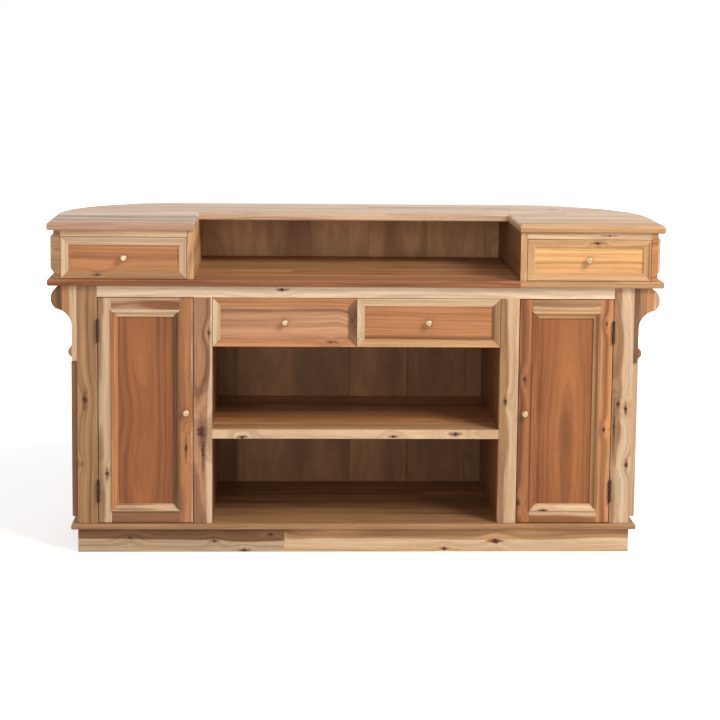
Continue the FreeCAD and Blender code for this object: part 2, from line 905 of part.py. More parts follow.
def drawer_box(d):
    """Two sides grooved for runner and bottom, a back, and a bottom that slides in from behind."""
    start = d["box_start"]
    end = d["box_end"]
    x0 = d["x0"] + box_gap
    x1 = d["x1"] - box_gap
    z0 = d["box_z0"]
    z1 = z0 + d["box_height"]
    floor_z0 = z0 + bottom_lift
    floor_z1 = floor_z0 + drawer_bottom
    inner_x0 = x0 + drawer_wall
    inner_x1 = x1 - drawer_wall
    runner_z0, runner_z1 = runner_levels(d)
    groove_start = start + groove_front_wall
    floor_slot = block(inner_x0 - bottom_let_in, inner_x1 + bottom_let_in, start, end, floor_z0, floor_z1)
    slot_z = (runner_z0 - runner_clearance, runner_z1 + runner_clearance)
    left_slot = block(x0 - overcut, x0 + groove_depth, groove_start, end + overcut, *slot_z)
    right_slot = block(x1 - groove_depth, x1 + overcut, groove_start, end + overcut, *slot_z)
    left = block(x0, inner_x0, start, end, z0, z1).cut([floor_slot, left_slot]).Solids[0]
    right = block(inner_x1, x1, start, end, z0, z1).cut([floor_slot, right_slot]).Solids[0]
    back = block(inner_x0, inner_x1, end - drawer_wall, end, floor_z1, z1)
    return [left, right, back, floor_slot]


def drawer_knob(d):
    kx, kd, kz = drawer_knob_place(d)
    return knob_at(kx, kd, kz, front_board)


def runners(d):
    """Strips on both sides of a drawer's space, that its side grooves ride on."""
    start = d["box_start"] + groove_front_wall + runner_clearance
    z0, z1 = runner_levels(d)
    reach = box_gap + runner_engagement
    return [
        block(d["x0"], d["x0"] + reach, start, d["runner_end"], z0, z1),
        block(d["x1"] - reach, d["x1"], start, d["runner_end"], z0, z1),
    ]


def runner_set(d):
    return both_sides(runners(d))


def drawer_partition():
    """Board that hangs between the lower drawers, hidden behind their fronts."""
    half = partition_thickness / 2.0
    start = frame_back
    return [block(-half, half, start, lower_back, lower_drawer_z0 + partition_lift, worktop_z0)]


# ---------------------------------------------------------------- writing the sub-parts

nodes = {}


def add(name, solids):
    nodes[name] = solids


def add_sides(name, solids):
    """Right-hand pieces and their mirror images as two sub-parts."""
    add(name + "_right", solids)
    add(name + "_left", [mirrored(solid) for solid in solids])


add("plinth_front", plinth_front())
add("plinth_skirt", plinth_skirt())
add("plinth_bearers", plinth_bearers())
add("base_board", base_board())
add("side_walls", side_walls())
add("corner_staves", both_sides(lower_corner()))
add("back_boards", back_boards())
add("outer_stiles", outer_stiles())
add("inner_stiles", inner_stiles())
add("front_rail", front_rail())
add_sides("divider", [divider()])
add("centre_shelf", centre_shelf())
add("cupboard_shelves", pair(cupboard_shelf()))
add("shelf_cleats", shelf_cleats())
add("door_stops", door_stops())
add("drawer_partition", drawer_partition())
add("lower_runners", runner_set(lower_drawer()))
add("upper_runners", runner_set(upper_drawer()))
add("worktop", worktop())
add_sides("block_inner_side", [block_inner_side()])
add_sides("block_outer_side", [block_outer_side()])
add("block_rails", block_rails())
add("upper_corner_staves", both_sides(upper_corner()))
add("upper_back_wall", upper_back_wall())
add("notch_boards", notch_boards())
add("top_slab", top_slab())

corbel, nose, strip = corbel_set()
add("side_corbels", pair(at_side(corbel)))
add("rear_corbels", pair(at_rear(corbel)))
add("corbel_noses", pair(at_side(nose)) + pair(at_rear(nose)))
add("pilasters", pair(at_side(strip)) + pair(at_rear(strip)))
add("wall_fields", wall_fields())
add("frieze_fields", frieze_fields())

add("hinge_post_leaves", hinge_post_leaves())
add("hinge_pins", hinge_pins())
add_sides("door_frame", door_frame())
add_sides("door_panel", door_panel())
add_sides("door_moulding", door_moulding())
add_sides("door_knob", door_knob())
add_sides("door_hinge_leaves", hinge_door_leaves())

for level, sizes in (("upper", upper_drawer()), ("lower", lower_drawer())):
    add_sides(level + "_drawer_front", drawer_front(sizes))
    add_sides(level + "_drawer_box", drawer_box(sizes))
    add_sides(level + "_drawer_knob", drawer_knob(sizes))

for name, solids in nodes.items():
    shape = solids[0] if len(solids) == 1 else Part.makeCompound(solids)
    shape.exportStep("parts/" + name + ".step")
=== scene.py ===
import math
from collections import namedtuple

import bmesh
import bpy
from mathutils import Euler, Matrix, Vector


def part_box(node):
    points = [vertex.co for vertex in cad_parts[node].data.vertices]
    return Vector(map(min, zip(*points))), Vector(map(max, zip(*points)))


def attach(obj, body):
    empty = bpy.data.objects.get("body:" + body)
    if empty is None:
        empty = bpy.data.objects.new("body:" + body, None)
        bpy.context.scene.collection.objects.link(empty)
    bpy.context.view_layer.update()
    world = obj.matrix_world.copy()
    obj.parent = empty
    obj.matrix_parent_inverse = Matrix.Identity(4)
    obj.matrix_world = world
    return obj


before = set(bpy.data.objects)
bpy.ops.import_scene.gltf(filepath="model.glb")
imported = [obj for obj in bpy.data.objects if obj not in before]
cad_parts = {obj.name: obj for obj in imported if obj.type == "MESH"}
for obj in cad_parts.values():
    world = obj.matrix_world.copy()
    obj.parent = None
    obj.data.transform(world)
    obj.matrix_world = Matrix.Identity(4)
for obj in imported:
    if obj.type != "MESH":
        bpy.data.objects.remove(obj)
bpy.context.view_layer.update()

# Looks of the island unit: solid acacia boards, brass knobs, dark hinges, white studio.
# Metres, in the frame's own axes: +X to the right, +Y to the back, +Z up.
# A node's object coordinates are its rest place, so every board is laid out in them.

scene = bpy.context.scene

# ---------------------------------------------------------------- sizes taken from the frame

slab_low, slab_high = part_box("top_slab")
worktop_low, worktop_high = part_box("worktop")
back_low, back_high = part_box("back_boards")
stave_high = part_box("corner_staves")[1]
wall_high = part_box("side_walls")[1]
rail_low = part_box("front_rail")[0]
shelf_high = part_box("centre_shelf")[1]
plinth_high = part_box("plinth_front")[1]

slab_front = slab_low.y
block_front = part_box("block_inner_side_left")[0].y
face_y = rail_low.y                    # front plane of the lower frame and doors
corner_x = back_high.x                 # centre of the quarter-round corners
corner_y = wall_high.y
middle_z = (worktop_low.z + plinth_high.z) / 2.0


def srgb(red, green, blue):
    """Colour written as 0 to 255, as the shader's own linear values."""
    def linear(value):
        share = value / 255.0
        return share / 12.92 if share <= 0.04045 else ((share + 0.055) / 1.055) ** 2.4
    return (linear(red), linear(green), linear(blue), 1.0)


# ---------------------------------------------------------------- shader expressions

# Waves a metre along the first coordinate and across it, and the noise's own settings
Noise = namedtuple("Noise", "along across detail roughness", defaults=(2.0, 0.5))


class Graph:
    """Writes a node tree as plain expressions. Values are sockets, numbers or tuples."""

    # Numbers of a mix node's sockets: its two values and its result, for each kind of data
    mix_sockets = {"FLOAT": (2, 3, 0), "VECTOR": (4, 5, 1), "RGBA": (6, 7, 2)}

    def __init__(self, tree):
        self.tree = tree

    def node(self, kind, **settings):
        made = self.tree.nodes.new(kind)
        for name, value in settings.items():
            setattr(made, name, value)
        return made

    def plug(self, socket, value):
        if isinstance(value, bpy.types.NodeSocket):
            self.tree.links.new(value, socket)
        else:
            socket.default_value = value

    def fill(self, made, values):
        """Plug values into a node's inputs, in their order."""
        for socket, value in zip(made.inputs, values):
            self.plug(socket, value)
        return made

    def math(self, operation, *values):
        return self.fill(self.node("ShaderNodeMath", operation=operation), values).outputs[0]

    def add(self, a, b):
        return self.math("ADD", a, b)

    def sub(self, a, b):
        return self.math("SUBTRACT", a, b)

    def mul(self, a, b):
        return self.math("MULTIPLY", a, b)

    def over(self, a, b):
        """1 where a is over b, else 0."""
        return self.math("GREATER_THAN", a, b)

    def vector(self, operation, *values):
        made = self.fill(self.node("ShaderNodeVectorMath", operation=operation), values)
        return made.outputs["Value" if operation == "LENGTH" else "Vector"]

    def split(self, vector):
        return tuple(self.fill(self.node("ShaderNodeSeparateXYZ"), (vector,)).outputs)

    def join(self, x, y, z):
        return self.fill(self.node("ShaderNodeCombineXYZ"), (x, y, z)).outputs[0]

    def stretch(self, vector, x, y, z):
        return self.vector("MULTIPLY", vector, (x, y, z))

    def noise(self, vector, detail=2.0, roughness=0.5):
        made = self.node("ShaderNodeTexNoise")
        self.plug(made.inputs["Vector"], vector)
        made.inputs["Scale"].default_value = 1.0
        made.inputs["Detail"].default_value = detail
        made.inputs["Roughness"].default_value = roughness
        return made.outputs["Fac"]

    def figure(self, place, noise):
        """Noise that may be drawn out along the first coordinate."""
        stretched = self.stretch(place, noise.along, noise.across, noise.across)
        return self.noise(stretched, noise.detail, noise.roughness)

    def sway(self, place, noise, reach):
        """Noise to both sides of nought."""
        return self.mul(self.sub(self.figure(place, noise), 0.5), reach)

    def line_noise(self, value):
        """Noise along one number."""
        made = self.node("ShaderNodeTexNoise", noise_dimensions="1D")
        self.plug(made.inputs["W"], value)
        made.inputs["Scale"].default_value = 1.0
        made.inputs["Detail"].default_value = 2.0
        return made.outputs["Fac"]

    def chance(self, value):
        """Three random numbers from one whole number."""
        made = self.node("ShaderNodeTexWhiteNoise", noise_dimensions="1D")
        self.plug(made.inputs["W"], value)
        return self.split(made.outputs["Color"])

    def step(self, value, low, high, out_low=0.0, out_high=1.0):
        """Smooth step from out_low to out_high while the value goes from low to high."""
        made = self.node("ShaderNodeMapRange", interpolation_type="SMOOTHSTEP")
        return self.fill(made, (value, low, high, out_low, out_high)).outputs[0]

    def mix(self, kind, share, a, b, **settings):
        """From a at share 0 to b at share 1."""
        made = self.node("ShaderNodeMix", data_type=kind, **settings)
        first, second, result = self.mix_sockets[kind]
        self.plug(made.inputs["Factor"], share)
        self.plug(made.inputs[first], a)
        self.plug(made.inputs[second], b)
        return made.outputs[result]

    def blend(self, share, a, b):
        return self.mix("FLOAT", share, a, b)

    def blend_vector(self, share, a, b):
        return self.mix("VECTOR", share, a, b)

    def blend_colour(self, share, a, b, how="MIX"):
        return self.mix("RGBA", share, a, b, blend_type=how)

    def ramp(self, value, stops):
        made = self.node("ShaderNodeValToRGB")
        self.plug(made.inputs[0], value)
        points = made.color_ramp.elements
        while len(points) < len(stops):
            points.new(0.5)
        for point, (place, colour) in zip(points, stops):
            point.position = place
            point.color = colour
        return made.outputs[0]

    def place(self):
        """Rest place on the object, in metres."""
        return self.node("ShaderNodeTexCoord").outputs["Object"]

    def use(self, group, **values):
        made = self.node("ShaderNodeGroup", node_tree=group)
        for name, value in values.items():
            self.plug(made.inputs[name], value)
        return made.outputs


def new_group(name, inputs, outputs):
    """Shader group: its graph, its inputs by name and its results by name."""
    tree = bpy.data.node_groups.new(name, "ShaderNodeTree")
    for label, kind in inputs:
        tree.interface.new_socket(label, in_out="INPUT", socket_type="NodeSocket" + kind)
    for label, kind in outputs:
        tree.interface.new_socket(label, in_out="OUTPUT", socket_type="NodeSocket" + kind)
    g = Graph(tree)
    given = g.node("NodeGroupInput").outputs
    return g, given, g.node("NodeGroupOutput").inputs


def new_material(name):
    """Material: itself, its graph and its main shader."""
    material = bpy.data.materials.new(name)
    material.use_nodes = True
    return material, Graph(material.node_tree), material.node_tree.nodes["Principled BSDF"]


def plug_relief(g, shader, height, strength, distance):
    """Fine relief of the surface, from a height that varies over it."""
    relief = g.node("ShaderNodeBump")
    relief.inputs["Strength"].default_value = strength
    relief.inputs["Distance"].default_value = distance
    g.plug(relief.inputs["Height"], height)
    g.plug(shader.inputs["Normal"], relief.outputs[0])


# ---------------------------------------------------------------- the wood itself

# In this section a rate is in waves a metre, and a step is written as from, to and what it gives
# at each, which is 0 and 1 if nothing else is said.

# Heartwood is the board's own tint, darker and lighter along its rings
heart_shades = [
    (0.24, (0.46, 0.40, 0.34, 1.0)),
    (0.40, (0.84, 0.80, 0.74, 1.0)),
    (0.53, (1.0, 0.98, 0.93, 1.0)),
    (0.78, (1.22, 1.24, 1.20, 1.0)),
]
# Sapwood by the same rings, and knots from their rim to their core
sap_stops = [
    (0.25, srgb(198, 156, 114)),
    (0.45, srgb(226, 191, 152)),
    (0.75, srgb(240, 214, 180)),
]
knot_stops = [
    (0.0, srgb(158, 108, 72)),
    (0.3, srgb(122, 80, 52)),
    (0.7, srgb(92, 57, 37)),
    (1.0, srgb(64, 41, 29)),
]

# Each board lies elsewhere in the noise, by its seed
seed_drift = (7.31, 3.17, 5.53)
seed_ring = 13.7
seed_streak = 5.0

# Rings wander slowly and quickly, and the sapwood's edge is ragged. Reaches are in metres
slow_noise = Noise(1.6, 6.0)
slow_reach = 0.04
quick_noise = Noise(7.0, 45.0)
quick_reach = 0.005
ragged_noise = Noise(5.0, 30.0, 3.0)
ragged_reach = 0.012
edge_bump = 0.15                       # share of a knot's bump that the sapwood's edge takes

# Figure: broad bands and fine lines along the rings, streaks, clouds, fibres and pores
band_rate = 46.0
line_rate = 330.0
streak_along = 2.6
streak_rate = 150.0
streak_detail = 4.0
streak_roughness = 0.62
cloud_noise = Noise(2.4, 11.0)
cloud_reach = 0.4                      # against the bands' own 0 to 1
fibre_noise = Noise(9.0, 620.0, 2.0, 0.6)
pore_noise = Noise(42.0, 950.0, 1.0)
pore_step = (0.62, 0.74)

# Sapwood by the distance beyond the heartwood, with a dark rim just before it
sap_step = (-0.0025, 0.0035)
sap_tint = 0.4                         # share of the board's own tint in its sapwood
rim_rise = (-0.008, -0.001)
rim_fall = (-0.001, 0.002, 0.16, 0.0)

# How much each part of the figure darkens or brightens the wood
line_shade = (0.5, 0.8, 1.0, 0.88)
streak_shade = (0.36, 0.62, 0.80, 1.06)
fibre_shade = (0.3, 0.7, 0.94, 1.05)
pore_shade = 0.25

# Small knots that any board may have, one to a cell at most
knot_cells = (2.6, 6.0, 6.0)           # cells a metre, along and across the grain
knotless_cells = 0.95                  # share of the cells without a knot
small_knot_step = (0.02, 0.085, 0.9, 0.0)
small_bump_step = (0.0, 0.5, 0.012, 0.0)

# Chosen knots, by the distance from their centre in times their own half-sizes
knot_noise = Noise(75.0, 75.0, 3.0, 0.65)
knot_wobble = 2.4
knot_bump = 0.018                      # how far a knot pushes the rings away, in metres
knot_falloff = -0.05
smear_step = (0.3, 2.4, 0.42, 0.0)
core_step = (0.2, 1.5, 1.0, 0.0)
core_size = 1.3                        # dark core
smear_along = 2.6                      # streak along the grain
smear_across = 0.9
knot_depth = 0.05                      # metres into the board
knot_blend = 0.5                       # darkness from which a knot's colour is the only one

# Surface: a satin varnish, thicker on the slab
wood_roughness = 0.46
fibre_roughness = 0.14
wood_specular = 0.25
coat_roughness = 0.38
usual_coat = 0.2
slab_coat = 0.4

# Relief: what stands up and what lies deep, and the whole's strength and height in metres
fibre_height = 0.35
line_height = 0.3
pore_height = 0.6
knot_height = 0.4
wood_relief = (0.35, 0.0006)


def acacia():
    """Acacia cut from a log: rings round a pith, heartwood inside, pale sapwood outside.

    Grain runs along the first coordinate. Across and Depth are the pith's place in the other two,
    Heart is the radius of the heartwood, and Bump lifts the rings so that they flow round a knot.
    """
    g, given, result = new_group(
        "acacia",
        [("Grain", "Vector"), ("Across", "Float"), ("Depth", "Float"), ("Heart", "Float"),
         ("Tint", "Color"), ("Seed", "Float"), ("Bump", "Float"), ("Knot", "Float")],
        [("Color", "Color"), ("Roughness", "Float"), ("Height", "Float")])
    grain, seed, tint = given["Grain"], given["Seed"], given["Tint"]
    here = g.vector("ADD", grain, g.stretch(g.join(seed, seed, seed), *seed_drift))
    along, across, depth = g.split(grain)

    cells = g.node("ShaderNodeTexVoronoi", feature="F1")
    g.plug(cells.inputs["Vector"], g.stretch(here, *knot_cells))
    cells.inputs["Scale"].default_value = 1.0
    rare = g.over(g.split(cells.outputs["Color"])[0], knotless_cells)
    small_knot = g.mul(rare, g.step(cells.outputs["Distance"], *small_knot_step))
    small_bump = g.mul(rare, g.step(cells.outputs["Distance"], *small_bump_step))

    from_pith = g.join(g.sub(across, given["Across"]), g.sub(depth, given["Depth"]), 0.0)
    bent = g.add(g.vector("LENGTH", from_pith), g.sway(here, slow_noise, slow_reach))
    bent = g.add(bent, g.sway(here, quick_noise, quick_reach))
    rings = g.add(bent, g.add(given["Bump"], small_bump))

    start = g.mul(seed, seed_ring)
    bands = g.line_noise(g.add(g.mul(rings, band_rate), start))
    lines = g.line_noise(g.add(g.mul(rings, line_rate), start))
    drawn_out = g.join(g.mul(along, streak_along), g.mul(rings, streak_rate), g.mul(seed, seed_streak))
    streaks = g.noise(drawn_out, streak_detail, streak_roughness)
    fibre = g.figure(here, fibre_noise)
    pores = g.step(g.figure(here, pore_noise), *pore_step)

    edge = g.add(bent, g.sway(here, ragged_noise, ragged_reach))
    beyond = g.sub(g.add(edge, g.mul(given["Bump"], edge_bump)), given["Heart"])
    shown = g.add(bands, g.sway(here, cloud_noise, cloud_reach))
    heart = g.blend_colour(1.0, tint, g.ramp(shown, heart_shades), "MULTIPLY")
    sapwood = g.blend_colour(sap_tint, g.ramp(shown, sap_stops), tint)
    colour = g.blend_colour(g.step(beyond, *sap_step), heart, sapwood)

    grey = g.sub(1.0, g.mul(g.step(beyond, *rim_rise), g.step(beyond, *rim_fall)))
    for value, shade in ((lines, line_shade), (streaks, streak_shade), (fibre, fibre_shade)):
        grey = g.mul(grey, g.step(value, *shade))
    grey = g.mul(grey, g.sub(1.0, g.mul(pores, pore_shade)))
    colour = g.blend_colour(1.0, colour, g.join(grey, grey, grey), "MULTIPLY")

    knot = g.math("MAXIMUM", given["Knot"], small_knot)
    colour = g.blend_colour(g.step(knot, 0.0, knot_blend), colour, g.ramp(knot, knot_stops))

    relief = g.add(g.mul(fibre, fibre_height), g.mul(lines, line_height))
    relief = g.sub(g.sub(relief, g.mul(pores, pore_height)), g.mul(knot, knot_height))
    g.plug(result["Color"], colour)
    g.plug(result["Roughness"], g.add(wood_roughness, g.mul(fibre, fibre_roughness)))
    g.plug(result["Height"], relief)
    return g.tree


def chosen_knot():
    """One knot at a chosen place: how far it lifts the rings, and how dark it is.

    Reach is the size of the knot's dark core, Smear that of the streak along the grain.
    """
    g, given, result = new_group(
        "knot",
        [("Place", "Vector"), ("Centre", "Vector"), ("Reach", "Vector"), ("Smear", "Vector")],
        [("Bump", "Float"), ("Knot", "Float")])
    from_centre = g.vector("SUBTRACT", given["Place"], given["Centre"])
    wobble = g.sway(given["Place"], knot_noise, knot_wobble)
    core = g.add(g.vector("LENGTH", g.vector("DIVIDE", from_centre, given["Reach"])), wobble)
    smear = g.add(g.vector("LENGTH", g.vector("DIVIDE", from_centre, given["Smear"])), wobble)
    falloff = g.math("EXPONENT", g.mul(g.mul(core, core), knot_falloff))
    g.plug(result["Bump"], g.mul(falloff, knot_bump))
    g.plug(result["Knot"], g.math("MAXIMUM", g.step(smear, *smear_step), g.step(core, *core_step)))
    return g.tree


acacia_tree = acacia()
knot_tree = chosen_knot()


def use_knot(g, place, x, y, z, reach_x, reach_z):
    """A chosen knot by its half-sizes. It is smeared along the longer one."""
    along_x = reach_x > reach_z
    scale_x = smear_along if along_x else smear_across
    scale_z = smear_across if along_x else smear_along
    return g.use(knot_tree, Place=place, Centre=(x, y, z),
                 Reach=(core_size * reach_x, knot_depth, core_size * reach_z),
                 Smear=(scale_x * reach_x, knot_depth, scale_z * reach_z))


def wood_material(name, layout, coat):
    """Material from a layout, which gives the grain's place, the board and its knots."""
    material, g, shader = new_material(name)
    place = g.place()
    grain, plank, knots = layout(g, place)
    bump, dark = 0.0, 0.0
    for knot in knots:
        spot = use_knot(g, place, *knot)
        bump = g.add(bump, spot["Bump"])
        dark = g.math("MAXIMUM", dark, spot["Knot"])
    look = g.use(acacia_tree, Grain=grain, Across=plank.across, Depth=plank.depth, Heart=plank.heart,
                 Tint=plank.tint, Seed=plank.seed, Bump=bump, Knot=dark)
    g.plug(shader.inputs["Base Color"], look["Color"])
    g.plug(shader.inputs["Roughness"], look["Roughness"])
    shader.inputs["Specular IOR Level"].default_value = wood_specular
    shader.inputs["Coat Weight"].default_value = coat
    shader.inputs["Coat Roughness"].default_value = coat_roughness
    plug_relief(g, shader, look["Height"], *wood_relief)
    return material


# ---------------------------------------------------------------- boards

# One board: its heartwood's radius and tint, and where its pith lies across it and in depth
Board = namedtuple("Board", "seed heart tint across depth")
all_heart = 9.0                        # radius of the heartwood that leaves no sapwood
all_sap = -9.0                         # and the one that leaves no heartwood
two_tone_pith = 0.03                   # pith behind the face of a board in two tones
usual_pith = -0.1                      # pith's place in depth where none is chosen
flat_sawn = 6.0                        # pith this far behind gives broad, soft figure
quarter_sawn = 6.0                     # pith this far across gives straight, even lines

# Random boards: radius of the heartwood and depth of the pith as least value and spread above it,
# and how far the pith may lie to a side
heart_least, heart_spread = 0.04, 0.16
pith_least, pith_spread = -0.13, 0.1
pith_sideways = 0.2
seed_spread = 9.0
second_draw = 57.3                     # number that leads to further random numbers
piece_stride = 17.0                    # number that tells apart the pieces of one board


def board(seed, tint, heart=all_heart, across=0.0, depth=usual_pith):
    return Board(seed, heart, tint, across, depth)


def two_tone(seed, tint, line, reach):
    """Board on the front plane whose heartwood shows this far to both sides of a line."""
    return Board(seed, math.hypot(reach, two_tone_pith), tint, line, face_y - two_tone_pith)


def either(g, share, a, b):
    """Board b where the share is 1, board a where it is 0."""
    numbers = {name: g.blend(share, getattr(a, name), getattr(b, name))
               for name in ("seed", "heart", "across", "depth")}
    return Board(tint=g.blend_colour(share, a.tint, b.tint), **numbers)


def random_board(g, number, across, depth, tints, sapwood):
    """Board by its number, cut from anywhere in its log. Sapwood is the share of boards that have some."""
    one, two, three = g.chance(number)
    four, five, _ = g.chance(g.add(number, second_draw))
    heart = g.add(heart_least, g.mul(three, heart_spread))
    if sapwood < 1.0:
        heart = g.add(heart, g.mul(g.over(five, sapwood), all_heart))
    return Board(
        seed=g.mul(g.add(one, two), seed_spread),
        heart=heart,
        tint=g.ramp(four, tints),
        across=g.add(across, g.mul(g.sub(one, 0.5), pith_sideways)),
        depth=g.add(depth, g.add(pith_least, g.mul(two, pith_spread))),
    )


def turned(g, place, axis):
    """Place with the grain's axis first."""
    x, y, z = g.split(place)
    order = {"X": (x, z, y), "Y": (y, z, x), "Z": (z, x, y)}[axis]
    return g.join(*order)


# ---------------------------------------------------------------- layouts of boards

def one_board(axis, plank, knots=()):
    return lambda g, place: (turned(g, place, axis), plank, knots)


def left_and_right(axis, left, right, knots=(), seam=0.0):
    """One board to each side of a seam."""
    def layout(g, place):
        share = g.over(g.split(place)[0], seam)
        return turned(g, place, axis), either(g, share, left, right), knots
    return layout


end_depth = 0.002                      # how far back a board's front end counts as its end


def front_end(axis, end, plank):
    """Side board of an upper block with its front end in another tone."""
    def layout(g, place):
        share = g.over(g.split(place)[1], block_front + end_depth)
        return turned(g, place, axis), either(g, share, end, plank), ()
    return layout


def row(axes, width, start, depth, seed, tints, sapwood=0.5, length=0.0, first=None, seam=0.0, knots=()):
    """Boards side by side, each random; with a length they are also cut to staggered lengths.

    Axes are those along, across and through the boards. Start is where the first board starts across
    them, and depth is where the piths lie through them. The first board can be given: its parts left
    and right of a seam.
    """
    along, across, through = axes

    def layout(g, place):
        parts = dict(zip("XYZ", g.split(place)))
        number = g.math("FLOOR", g.math("DIVIDE", g.sub(parts[across], start), width))
        middle = g.add(start, g.mul(g.add(number, 0.5), width))
        tag = number
        if length:
            stagger = g.mul(g.chance(g.add(number, seed))[0], length)
            piece = g.math("FLOOR", g.math("DIVIDE", g.add(parts[along], stagger), length))
            tag = g.add(number, g.mul(piece, piece_stride))
        plank = random_board(g, g.add(tag, seed), middle, depth, tints, sapwood)
        if first:
            front = either(g, g.over(parts["X"], seam), *first)
            plank = either(g, g.over(number, 0.5), front, plank)
        return g.join(parts[along], parts[across], parts[through]), plank, knots
    return layout


curve_pith = 0.2                       # pith's place, out from the centre of the curve
least_reach = 0.0001                   # keeps the angle defined on the flat parts


def edge_line(g, place):
    """Length measured round the unit's outside, from one side over the curved back to the other."""
    x, y, _ = g.split(place)
    side = g.math("SIGN", x)
    out_x = g.math("MAXIMUM", g.sub(g.math("ABSOLUTE", x), corner_x), 0.0)
    out_y = g.math("MAXIMUM", g.sub(y, corner_y), 0.0)
    turn = g.math("ARCTAN2", out_x, g.math("MAXIMUM", out_y, least_reach))
    radius = slab_high.x - corner_x
    flat = g.math("MINIMUM", g.math("ABSOLUTE", x), corner_x)
    ahead = g.math("MAXIMUM", g.sub(corner_y, y), 0.0)
    length = g.add(g.add(flat, g.mul(turn, radius)), ahead)
    return g.mul(side, length), g.vector("LENGTH", g.join(out_x, out_y, 0.0))


def round_the_back(width, seed, tints, sapwood=0.5, level=False):
    """Boards that follow the curved back, with the grain upright or level."""
    def layout(g, place):
        s, out = edge_line(g, place)
        z = g.split(place)[2]
        along, across = (s, z) if level else (z, s)
        number = g.math("FLOOR", g.math("DIVIDE", s, width))
        middle = middle_z if level else g.mul(g.add(number, 0.5), width)
        plank = random_board(g, g.add(number, seed), middle, curve_pith, tints, sapwood)
        return g.join(along, across, out), plank, ()
    return layout


def ring(node, width, rails, stiles, mitred=True, centre=None, knots=()):
    """Frame of four boards round a rectangle. Rails are bottom and top, stiles left and right.

    A centre board inside the frame has level grain.
    """
    low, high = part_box(node)
    middle = (low + high) / 2.0
    reach_x = (high.x - low.x) / 2.0
    reach_z = (high.z - low.z) / 2.0

    def layout(g, place):
        x, y, z = g.split(place)
        in_x = g.sub(g.math("ABSOLUTE", g.sub(x, middle.x)), reach_x)
        in_z = g.sub(g.math("ABSOLUTE", g.sub(z, middle.z)), reach_z)
        upright = g.over(in_x, in_z if mitred else -width)
        rail = either(g, g.over(z, middle.z), *rails)
        stile = either(g, g.over(x, middle.x), *stiles)
        plank = either(g, upright, rail, stile)
        if centre:
            inside = g.over(-width, g.math("MAXIMUM", in_x, in_z))
            upright = g.mul(upright, g.sub(1.0, inside))
            plank = either(g, inside, plank, centre)
        return g.blend_vector(upright, g.join(x, z, y), g.join(z, x, y)), plank, knots
    return layout


# ---------------------------------------------------------------- metals

metal_detail = 3.0
grime_step = (0.45, 0.75)
grime_roughness = 0.25
dent_rate = 6.0                        # dents to one patch of grime
metal_relief = (0.2, 0.0002)           # strength and height in metres


def metal_material(name, colour, grime, roughness, rate):
    """Metal with a faintly uneven, handled surface. Rate is that of its patches of grime."""
    material, g, shader = new_material(name)
    shader.inputs["Metallic"].default_value = 1.0
    place = g.place()
    patches = g.figure(place, Noise(rate, rate, metal_detail))
    dents = g.figure(place, Noise(rate * dent_rate, rate * dent_rate, metal_detail))
    g.plug(shader.inputs["Base Color"], g.blend_colour(g.step(patches, *grime_step), colour, grime))
    g.plug(shader.inputs["Roughness"], g.add(roughness, g.mul(g.sub(patches, 0.5), grime_roughness)))
    plug_relief(g, shader, dents, *metal_relief)
    return material


brass = metal_material("knob_brass", srgb(228, 198, 160), srgb(196, 160, 118), roughness=0.27, rate=130.0)
iron = metal_material("hinge_iron", srgb(84, 68, 57), srgb(48, 38, 33), roughness=0.42, rate=160.0)
screw_iron = metal_material("screw_iron", srgb(168, 150, 132), srgb(104, 88, 76), roughness=0.35, rate=160.0)

# ---------------------------------------------------------------- tints that the photo's boards have

# A few of these tints also hold painted shade and a painted sheen, as noted where they are used
cream = srgb(236, 204, 172)
rosy = srgb(212, 178, 150)
pink = srgb(197, 154, 126)
bright = srgb(210, 164, 118)
honey = srgb(208, 160, 114)
amber = srgb(222, 166, 108)
golden = srgb(194, 148, 102)
peach = srgb(192, 138, 102)
orange = srgb(190, 128, 82)
cinnamon = srgb(174, 124, 90)
tan = srgb(172, 128, 88)
russet = srgb(160, 100, 60)
panel_brown = srgb(158, 96, 53)
umber = srgb(134, 92, 60)
# Dark umber: the plinth's own heartwood, and painted shade on the right block's inner side
dark_umber = srgb(118, 80, 50)

mixed_tints = [(0.0, orange), (0.25, tan), (0.5, golden), (0.75, russet), (1.0, orange)]
# Tints for the slab: partly its wood's own pale colour, partly a painted sheen, lighter than the wood to
# stand in for the reflection on its glossy top
pale_tints_with_painted_sheen = [(0.0, srgb(216, 182, 154)), (0.3, srgb(216, 176, 138)), (0.6, rosy),
              (0.85, srgb(206, 166, 128))]
dull_tints = [(0.0, srgb(170, 122, 80)), (0.5, srgb(180, 132, 88)), (0.9, srgb(156, 112, 74))]
light_tints = [(0.0, bright), (0.5, honey), (0.8, bright)]
calm_tints = [(0.0, tan), (0.4, golden), (0.7, orange)]
# Dark tints: on the dividers they are painted shade of the open bay
dark_tints = [(0.0, umber), (0.5, russet), (0.9, umber)]
base_tints = [(0.0, tan), (0.5, umber), (0.9, tan)]
corbel_tints = [(0.0, umber), (0.4, tan), (0.7, orange)]

# ---------------------------------------------------------------- which wood goes where

# Widths of the boards in one piece, as the photo shows them or like those that it shows
slab_plank = 0.118
worktop_plank = 0.105
base_plank = 0.11
shelf_plank = 0.12
side_plank = 0.115
field_plank = 0.1
upper_back_plank = 0.2
frieze_length = 0.7
corbel_layer = 0.0235
wide_plank = 0.3                       # wider than a small piece, which is then of one board
drawer_plank = 0.4

# Widths of the strips round doors and drawer fronts
frame_width = 0.042
moulding_width = 0.024
border_width = 0.025

